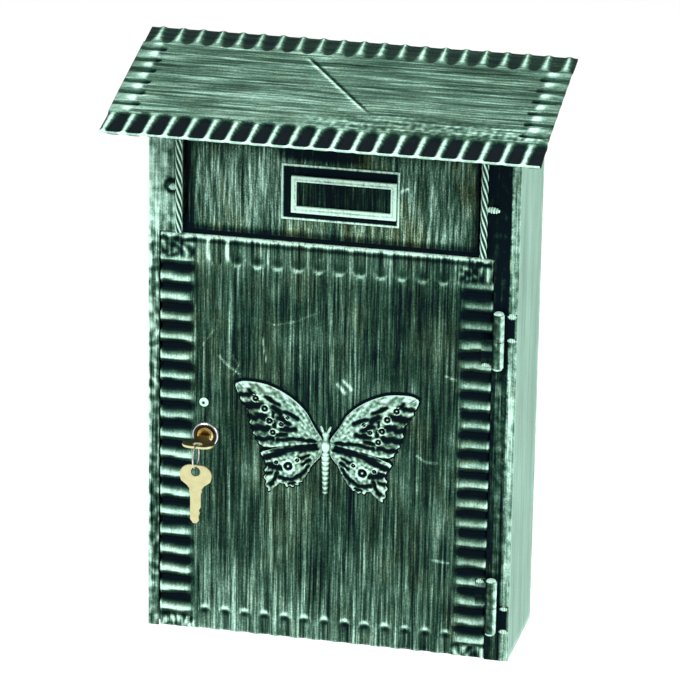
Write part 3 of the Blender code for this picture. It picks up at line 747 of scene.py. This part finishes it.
# --- Hinges ----------------------------------------------------------------------------------
# Weld-on barrel hinges with headed pins, one above the other on the right. Each leaf is a bent
# steel strip, painted with the box and rubbed pale down the barrel, with painted light down the
# barrel's right side and painted shade on its left.
hinge_axis = (corner("upper_hinge_pin", 0) + corner("upper_hinge_pin", 1)) / 2 / MM


def knuckle_wear_and_shading(x, y, z):
    """Pale down the right of each barrel, darker on its left: rubbed paint with painted light on its right
    side and painted shade on its left.
    """
    facing = x - hinge_axis.x
    pale = 0.36 * step_between(facing, -3.4, -1.0) + 0.42 * step_between(facing, 1.6, 2.6)
    return 0.14 + pale + 0.28 * wander(x, z, 3.5, 3.0)


def frame_leaf_wear_and_shading(x, y, z):
    barrel = 1 - step_between(np.hypot(x - hinge_axis.x, y - hinge_axis.y), 4.0, 4.8)
    outer = step_between(x, hinge_axis.x + 10.2, hinge_axis.x + 11.2)
    leaf = 0.04 + 0.60 * outer + 0.10 * wander(x, z, 5, 3.0)
    return leaf + (knuckle_wear_and_shading(x, y, z) - leaf) * barrel, 0.7 * np.ones_like(x)


def door_leaf_wear_and_shading(x, y, z):
    """The bars of the door, with their rubbed paint and painted shading, run on more faintly over this leaf.
    """
    barrel = 1 - step_between(np.hypot(x - hinge_axis.x, y - hinge_axis.y), 4.0, 4.8)
    pale = bars(z - door_low.z / MM - RIGHT_BARS_START, 0 * x, SIDE_PITCH, SIDE_REACH)[2]
    leaf = 0.05 + 0.60 * pale
    return leaf + (knuckle_wear_and_shading(x, y, z) - leaf) * barrel, 0.7 * np.ones_like(x)


def pin_wear(x, y, z):
    return 0.92 * np.ones_like(x), 0.8 * np.ones_like(x)


for which in ("upper", "lower"):
    for word, wear_and_shading in (("frame_leaf", frame_leaf_wear_and_shading), ("door_leaf", door_leaf_wear_and_shading),
                       ("pin", pin_wear)):
        node = f"{which}_hinge_{word}"
        piece = bent_copy(node, node + "_iron", 0.3 * MM, 1.2 * MM, wear_and_shading)
        own(node, piece, patina_down)
        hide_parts(node)


# --- Butterfly -------------------------------------------------------------------------------
# A swallowtail pressed from thin sheet and spot welded on the door: two pairs of wings with
# raised veins, hollow cells and ringed spots, round a ribbed body.
bf_low, bf_high = corner("butterfly", 0), corner("butterfly", 1)
bf_centre = Vector(((bf_low.x + bf_high.x) / 2, bf_high.y, bf_high.z - 40.5 * MM))
FORE_WING = [(3.0, 3.2), (8.5, 11.5), (15.5, 23.0), (27.0, 32.5), (42.0, 39.2), (57.0, 40.6),
             (63.4, 39.0), (65.0, 36.2), (61.0, 27.5), (56.5, 20.5), (54.0, 10.5), (51.5, 3.0), (47.5, -4.5),
             (42.0, -6.0), (30.5, -2.6), (21.0, -0.2), (10.0, 0.6), (3.0, -0.5)]
HIND_WING = [(3.0, -1.2), (10.0, -1.0), (21.0, -2.0), (30.5, -4.6), (41.0, -8.6), (46.4, -11.5),
             (42.6, -19.0), (43.5, -29.0), (40.5, -38.5), (36.0, -30.0), (27.5, -34.0),
             (20.0, -32.0), (15.0, -25.5), (9.5, -16.5), (3.6, -9.0)]
FORE_ROOT = (4.0, 1.0)
HIND_ROOT = (5.5, -5.0)
# Dark hollows: strokes through points, with their half width
FORE_HOLLOWS = [
    ([(55, 31.5), (61, 30.5)], 1.6), ([(46.5, 24.5), (58, 23.5)], 2.0),
    ([(43, 16.0), (56, 15.5)], 2.0), ([(41, 8.0), (54, 7.0)], 1.9),
    ([(38, 1.0), (50, -0.5)], 1.5), ([(20, 17.0), (29, 21.5)], 1.1), ([(27, 13.0), (33, 16.5)], 1.7),
    ([(22, 9.5), (31, 8.5)], 1.2), ([(33, 26.0), (43, 31.0)], 1.0), ([(32, 20.0), (38, 24.0)], 1.4),
    ([(8, 1.8), (20, 2.4), (34, 0.2)], 1.0), ([(49, 30.0), (54, 34.5)], 1.2),
    ([(28, 5.0), (35, 3.5)], 1.0), ([(36, 9.5), (38.5, 20.5)], 0.8),
]
FORE_EYES = [((50.0, 29.5), 2.4), ((43.5, 22.5), 2.5), ((40.0, 13.8), 2.4), ((37.5, 5.6), 2.2),
             ((31.5, 12.0), 1.8), ((27.0, 17.2), 1.5)]
HIND_HOLLOWS = [
    ([(7, -2.6), (17, -4.6), (26, -6.0), (36, -10.5), (44, -14.5)], 1.7),
    ([(31, -20.5), (41, -19.0)], 1.6), ([(13, -18.0), (18, -25.5), (25, -28.5), (32, -27.5)], 1.0),
    ([(34, -25.0), (39.5, -34.0)], 1.1), ([(11, -12.5), (16, -15.5)], 0.9),
    ([(12.5, -9.5), (19, -12.5)], 0.8), ([(38, -24.5), (42, -25.5)], 0.9),
    ([(22, -31.0), (26, -31.5)], 0.7), ([(15, -21.0), (11.0, -17.0)], 0.7),
]
HIND_EYES = [((26.5, -18.5), 3.4), ((35.0, -16.5), 1.6), ((20.0, -13.5), 1.6)]


def painted_points():
    """An empty mesh, and a function that adds points which keep how pale their paint is, from rubbing and
    painted light and shade, and how calm it is.
    """
    bm = bmesh.new()
    worn_and_shaded_layer = bm.verts.layers.float.new("worn")
    calm_layer = bm.verts.layers.float.new("calm")

    def put(place, worn):
        vert = bm.verts.new(place)
        vert[worn_and_shaded_layer] = worn
        vert[calm_layer] = 1.0
        return vert

    return bm, put


def join_rows(bm, rows):
    """Close a tube of faces through equal rings of points, with a face at each end."""
    for lower, upper in zip(rows, rows[1:]):
        for k in range(len(lower)):
            after = (k + 1) % len(lower)
            bm.faces.new((lower[k], lower[after], upper[after], upper[k]))
    bm.faces.new(list(reversed(rows[0])))
    bm.faces.new(rows[-1])


def smooth_piece(name, bm, sharp_over=None):
    """The mesh as a smooth piece; bends over that many degrees stay sharp."""
    bmesh.ops.recalc_face_normals(bm, faces=bm.faces)
    mesh = bpy.data.meshes.new(name)
    bm.to_mesh(mesh)
    bm.free()
    mesh.shade_smooth()
    if sharp_over:
        mesh.set_sharp_from_angle(angle=math.radians(sharp_over))
    return new_piece(name, mesh)


def smooth_outline(points, steps):
    """A smooth closed line through the points, evenly stepped between them."""
    line = []
    count = len(points)
    for i in range(count):
        p0, p1, p2, p3 = (np.array(points[(i + k) % count]) for k in (-1, 0, 1, 2))
        for j in range(steps):
            t = j / steps
            line.append(0.5 * (2 * p1 + (p2 - p0) * t + (2 * p0 - 5 * p1 + 4 * p2 - p3) * t ** 2
                               + (3 * p1 - p0 - 3 * p2 + p3) * t ** 3))
    return np.array(line)


def wing(name, outline, root, hollows, eyes, crown, side, rings=56):
    """One wing as rings of points between its root and its outline, raised and closed behind."""
    edge = smooth_outline(outline, 16)
    n = len(edge)
    outward = np.roll(edge, -1, axis=0) - np.roll(edge, 1, axis=0)
    outward = np.stack((outward[:, 1], -outward[:, 0]), axis=1) / np.linalg.norm(outward, axis=1)[:, None]
    if np.sum(outward * (edge - edge.mean(axis=0))) < 0:
        outward = -outward
    margin = np.maximum(step_between(edge[:, 0], 44, 52), step_between(-edge[:, 1], 14, 24))
    margin = margin * (1 - step_between(edge[:, 1], 26, 34))
    ripple = 0.7 * margin * np.cos(np.arange(n) * 2 * math.pi / 8)
    edge = edge + outward * ripple[:, None]
    t = np.linspace(0.0, 1.0, rings + 1)[1:] ** 0.8
    x = root[0] + (edge[None, :, 0] - root[0]) * t[:, None]
    z = root[1] + (edge[None, :, 1] - root[1]) * t[:, None]
    far = t[:, None] * np.ones(n)[None, :]
    dark = np.zeros_like(x)
    bent_x = x + 1.3 * wander(x, z, 4.5, 2.0)
    bent_z = z + 1.3 * wander(x, z, 4.5, 12.0)
    for points, half in hollows:
        dark = np.maximum(dark, scratch(bent_x, bent_z, points, 1.15 * half))
    light = np.zeros_like(x)
    for (ex, ez), radius in eyes:
        away = np.hypot(x - ex, z - ez)
        dark = np.where(away < radius * 1.25, 0, dark)
        dark = np.maximum(dark, np.exp(-((away - radius * 0.62) / (0.28 * radius)) ** 2))
        light = np.maximum(light, np.exp(-((away - radius * 1.15) / (0.22 * radius)) ** 2))
        light = np.maximum(light, np.exp(-(away / (0.28 * radius)) ** 2))
    angle = np.arctan2(z - root[1], x - root[0])
    veins = 0.5 + 0.5 * np.cos(angle * 42)
    from_edge = (1 - far) * np.hypot(x - root[0], z - root[1]) / np.maximum(far, 0.05)
    hem_band = 1 - step_between(from_edge, 0.5, 1.6)
    scallop = 0.5 + 0.5 * np.cos(np.arange(n) * 2 * math.pi / 8)[None, :] * step_between(far, 0.8, 1.0)
    dome = np.sqrt(np.clip(1 - (2 * np.clip(from_edge, 0, 7) / 14 - 1) ** 2, 0, 1))
    lift = 0.9 + crown * dome + 0.35 * light - 1.1 * dark + 0.25 * (veins - 0.5) * dome
    lift = lift * (1 - 0.45 * hem_band) + 0.25 * scallop * (1 - hem_band)
    grain = wander(x, z, 2.2, 4.0)
    worn = 0.68 + 0.34 * light - 1.15 * dark + 0.26 * (veins - 0.5) * far + 0.34 * grain
    worn = np.clip(worn - 0.14 * (scallop - 0.5) + 0.30 * hem_band, 0, 1)
    bm, put = painted_points()

    def raised(px, pz, height, value):
        return put(bf_centre + Vector((side * px, -height, pz)) * MM, value)

    hub = raised(root[0], root[1], 0.9 + crown * 0.6, 0.7)
    loops = [[raised(x[i, j], z[i, j], lift[i, j], worn[i, j]) for j in range(n)] for i in range(rings)]
    # Painted shadow: a dark flange runs round the wing, wider above it, standing for the wing's shadow on
    # the door.
    shadow_outline = edge + outward * (1.1 + 1.2 * np.clip(outward[:, 1:], 0, 1))
    skirt = [raised(px, pz, 0.45, 0.0) for px, pz in edge]
    shadow_brim = [raised(px, pz, 0.3, 0.0) for px, pz in shadow_outline]
    base = [raised(px, pz, 0.0, 0.0) for px, pz in shadow_outline]
    for j in range(n):
        k = (j + 1) % n
        bm.faces.new((hub, loops[0][j], loops[0][k]))
        for inner, outer in zip(loops + [skirt, shadow_brim], loops[1:] + [skirt, shadow_brim, base]):
            bm.faces.new((inner[j], outer[j], outer[k], inner[k]))
    bm.faces.new(list(reversed(base)))
    return smooth_piece(name, bm, 60)


relief_paint = brushed_patina("patina_relief", (900, 900, 900), (300, 300, 300), 0.50, 0.5, 1.15)
wings = []
for side, word in ((-1, "left"), (1, "right")):
    wings.append(wing(f"{word}_hind_wing", HIND_WING, HIND_ROOT, HIND_HOLLOWS, HIND_EYES, 1.5, side))
    wings.append(wing(f"{word}_fore_wing", FORE_WING, FORE_ROOT, FORE_HOLLOWS, FORE_EYES, 2.0, side))
for piece in wings:
    own("butterfly", piece, relief_paint)

# The body: a turned, ribbed shape, flattened and half sunk, its foot on the door
BODY_PROFILE = [(0.0, 9.8), (1.7, 9.3), (2.7, 7.6), (2.5, 5.6), (1.6, 4.2), (2.8, 2.6), (3.4, 0.0),
                (3.0, -3.0), (2.2, -5.6), (1.7, -6.6)]
for rib in range(8):
    top_z = -7.0 - rib * 3.7
    swell = 3.3 - 0.16 * rib
    BODY_PROFILE += [(swell - 0.5, top_z), (swell, top_z - 1.2), (swell - 0.1, top_z - 2.6)]
BODY_PROFILE += [(1.2, -37.4), (0.0, -39.4)]
BODY_SIDES = 20
body_bm, put = painted_points()
body_rows = []
for radius, z in BODY_PROFILE:
    row = []
    for k in range(BODY_SIDES if radius > 0 else 1):
        angle = 2 * math.pi * k / BODY_SIDES
        height = max(0.0, 1.0 + radius * 0.95 * math.cos(angle))
        worn = min(1, 0.10 + 0.62 * height / 3 + 0.22 * math.sin(z * 1.7))
        row.append(put(bf_centre + Vector((radius * math.sin(angle), -height, z)) * MM, worn))
    body_rows.append(row)
for upper, lower in zip(body_rows, body_rows[1:]):
    count = max(len(upper), len(lower))
    for k in range(count):
        ring_of = [upper[k % len(upper)], lower[k % len(lower)], lower[(k + 1) % len(lower)],
                   upper[(k + 1) % len(upper)]]
        body_bm.faces.new(list(dict.fromkeys(ring_of)))
bmesh.ops.remove_doubles(body_bm, verts=body_bm.verts, dist=0.002 * MM)
butterfly_body = smooth_piece("butterfly_body", body_bm)
own("butterfly", butterfly_body, relief_paint)
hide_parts("butterfly")


def weld_bead(name, points, radius, node):
    """A bead along a few points, its thickness rippled and its ends closed."""
    steps, sides = 14, 10
    path = [Vector(p) for p in points]
    rows = []
    bm, put = painted_points()
    for i in range(steps + 1):
        f = i / steps * (len(path) - 1)
        k = min(int(f), len(path) - 2)
        centre = path[k].lerp(path[k + 1], f - k)
        along = (path[k + 1] - path[k]).normalized()
        side_way = along.cross(Vector((0, 1, 0)))
        side_way = side_way.normalized() if side_way.length > 0.1 else Vector((1, 0, 0))
        other = along.cross(side_way)
        taper = math.sin(math.pi * (i + 0.6) / (steps + 1.2)) ** 0.5
        wave = math.sin(i * 2.4)
        size = radius * taper * (1 + 0.22 * wave)
        row = []
        for j in range(sides):
            angle = 2 * math.pi * j / sides
            spoke = math.cos(angle) * side_way + math.sin(angle) * other
            row.append(put(centre + size * spoke, 0.8 + 0.2 * wave))
        rows.append(row)
    join_rows(bm, rows)
    own(node, smooth_piece(name, bm), relief_paint)


for side, word in ((-1, "left"), (1, "right")):
    foot = bf_centre + Vector((side * 1.4, -2.4, 8.2)) * MM
    tip = bf_centre + Vector((side * 3.6, -1.6, 13.2)) * MM
    weld_bead(word + "_antenna", [foot, tip], 0.9 * MM, "butterfly")


# --- Twisted rods ----------------------------------------------------------------------------
# Two square steel bars twisted cold, one welded on each side of the flap. The pale paint only
# caught their corners.
def twisted_rod(name, low, high, side, quarter_turn, phase):
    """A square bar with eased corners, turned as it rises."""
    slices = 150
    middle = (low + high) / 2
    half = side / 2
    ease = 0.16 * side
    section = []
    for k in range(4):
        angle = math.pi / 2 * k
        for du, dv in ((half, -half + ease), (half, 0), (half, half - ease),
                       (half - ease * 0.3, half - ease * 0.3)):
            section.append((du * math.cos(angle) - dv * math.sin(angle),
                            du * math.sin(angle) + dv * math.cos(angle)))
    bm, put = painted_points()
    rows = []
    for i in range(slices + 1):
        z = low.z + (high.z - low.z) * i / slices
        turned_by = phase + math.pi / 2 * (z - low.z) / quarter_turn
        row = []
        for px, py in section:
            x = px * math.cos(turned_by) - py * math.sin(turned_by)
            y = px * math.sin(turned_by) + py * math.cos(turned_by)
            out = (math.hypot(px, py) - half) / (half * 0.3)
            row.append(put((middle.x + x, middle.y + y, z), min(1, max(0, 0.15 + 0.95 * out))))
        rows.append(row)
    join_rows(bm, rows)
    return smooth_piece(name, bm, 40)


rod_side = 3.7 * MM
rod_quarter_turn = -8.0 * MM
for word, phase in (("left", 0.2), ("right", 1.0)):
    node = word + "_twisted_rod"
    rod = twisted_rod(node + "_iron", corner(node, 0), corner(node, 1), rod_side, rod_quarter_turn, phase)
    own(node, rod, relief_paint)
    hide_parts(node)


# --- Weld beads ------------------------------------------------------------------------------
# Rippled beads of weld metal where the hinge leaves and the twisted rods are fixed, painted
# over and rubbed pale like every other high spot.
BEADS = {
    "upper_hinge_frame_leaf": (1, 2.0, 1.7), "upper_hinge_door_leaf": (-1, 0.6, 1.6),
    "lower_hinge_frame_leaf": (1, 1.6, 1.8), "lower_hinge_door_leaf": (-1, 1.7, 0.6),
}
for node, (way, top_radius, bottom_radius) in BEADS.items():
    low, high = corner(node, 0), corner(node, 1)
    bead_length = 6.5 * MM
    outer = high.x if way > 0 else low.x
    inner_x = outer - way * bead_length
    y = face_y - 1.2 * MM
    for word, z, radius in (("top", high.z - 1.5 * MM, top_radius), ("bottom", low.z, bottom_radius)):
        weld_bead(f"{node}_{word}_bead", [(inner_x, y, z), (outer, y, z)], radius * MM, node)
for word, way, z_up in (("left", -1, 32.5), ("right", 1, 34.5)):
    node = word + "_twisted_rod"
    low, high = corner(node, 0), corner(node, 1)
    x = (low.x + high.x) / 2
    y = high.y - 1.6 * MM
    reach = 7.0 if way < 0 else 10.5
    weld_bead(node + "_tack", [(x + way * 1.0 * MM, y, low.z + z_up * MM),
                               (x + way * reach * MM, y, low.z + (z_up - 1) * MM)], 2.1 * MM, node)


# --- Lock ------------------------------------------------------------------------------------
# A cam lock: a plated sleeve with a painted highlight on its bright rim and a painted dark reflection
# on its inner slope, held by its nut, and a turned brass plug with a dark hollow round the keyway
# and a painted highlight ring, brightest to the right.
def metal(name, stops, roughness, grain):
    """Bare metal whose colour follows its stored value, which on some pieces holds painted highlights and
    reflections, with fine scuffs.
    """
    material, shader, place = start(name)
    worn = place.stored("worn")
    scuffs = place.stretched_noise((grain, grain, grain), 4.0, 0.6)
    dirt = place.stretched_noise((260, 260, 260), 3.0, 0.5)
    value = (worn + (scuffs - 0.5) * 0.16 + (dirt - 0.5) * 0.22).clamp()
    feed(shader, "Base Color", coloured(value, stops))
    feed(shader, "Roughness", roughness + (scuffs - 0.5) * 0.25)
    shader.inputs["Metallic"].default_value = 1.0
    return material


plated = metal("plated_steel", ((0, (0.010, 0.009, 0.008)), (0.45, (0.10, 0.09, 0.08)),
                                (1, (0.74, 0.75, 0.73))), 0.24, 1500)
brass = metal("turned_brass", ((0, (0.035, 0.014, 0.003)), (0.45, (0.24, 0.13, 0.02)),
                               (0.75, (0.56, 0.38, 0.08)), (1, (0.90, 0.80, 0.42))), 0.26, 1500)
lock_x, lock_z = lock_centre.x / MM, lock_centre.z / MM


def bezel_painted_reflection(x, y, z):
    # Painted highlight on the outer rim and painted dark reflection on the inner slope.
    away = np.hypot(x - lock_x, z - lock_z)
    return 0.10 + 0.90 * step_between(away, 8.1, 8.7), 0 * x


def plug_painted_highlight(x, y, z):
    away = np.hypot(x - lock_x, z - lock_z)
    # Painted highlight: a pale brass ring, brightest towards the right, round a darker middle.
    ring = np.exp(-((away - 4.7) / 1.0) ** 2)
    towards_right = 0.5 + 0.5 * (x - lock_x) / 6
    return 0.20 + 0.34 * step_between(away, 1.6, 4.0) + 0.80 * ring * towards_right, 0 * x


def even_wear(x, y, z):
    return 0.85 + 0 * x, 0 * x


for node, finish, cut, wear_and_shading in (("lock_sleeve", plated, 0.7, bezel_painted_reflection),
                                ("lock_nut", plated, 0, even_wear),
                                ("lock_cam", plated, 0, even_wear),
                                ("cam_screw", plated, 0, even_wear),
                                ("lock_plug", brass, 0.7, plug_painted_highlight)):
    piece = bent_copy(node, node + "_turned", 0.2 * MM, cut * MM, wear_and_shading)
    own(node, piece, finish)
    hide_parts(node)


# --- Keys and ring ---------------------------------------------------------------------------
# Two stamped nickel-brass keys on a plated wire ring; the one in the lock has a painted dark
# reflection on its flat faces and a painted highlight along its edge.
nickel = metal("nickel_brass", ((0, (0.020, 0.017, 0.008)), (0.5, (0.26, 0.23, 0.12)),
                                (1, (0.70, 0.68, 0.38))), 0.42, 1800)


def locked_key_reflection(x, y, z):
    # Painted dark reflection on the flat faces, painted highlight along the edge.
    from_middle = np.abs(z - lock_z)
    return 0.96 - 0.72 * step_between(from_middle, 0.66, 0.86), 0 * x


def spare_key_wear(x, y, z):
    return 0.86 + 0.05 * wander(x, z, 5, 1.0), 0 * x


for node, wear_and_shading in (("key", locked_key_reflection), ("spare_key", spare_key_wear)):
    piece = bent_copy(node, node + "_stamped", 0.22 * MM, 0.9 * MM, wear_and_shading)
    own(node, piece, nickel)
    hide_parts(node)
ring = bent_copy("key_ring", "key_ring_wire", 0.02 * MM, 0, even_wear)
own("key_ring", ring, plated)
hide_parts("key_ring")


# --- Door rivet ------------------------------------------------------------------------------
# A round-headed steel rivet set through the door above the lock, rubbed pale, with a dark
# dimple left by the punch.
rivet_low, rivet_high = corner("door_rivet", 0) / MM, corner("door_rivet", 1) / MM
rivet_middle = (rivet_low + rivet_high) / 2


def rivet_wear(x, y, z):
    away = np.hypot(x - rivet_middle.x, z - rivet_middle.z)
    return 0.95 - 0.85 * np.exp(-(away / 1.0) ** 2), 0.9 + 0 * x


rivet = bent_copy("door_rivet", "door_rivet_head", 0.15 * MM, 0.5 * MM, rivet_wear)
own("door_rivet", rivet, relief_paint)
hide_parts("door_rivet")
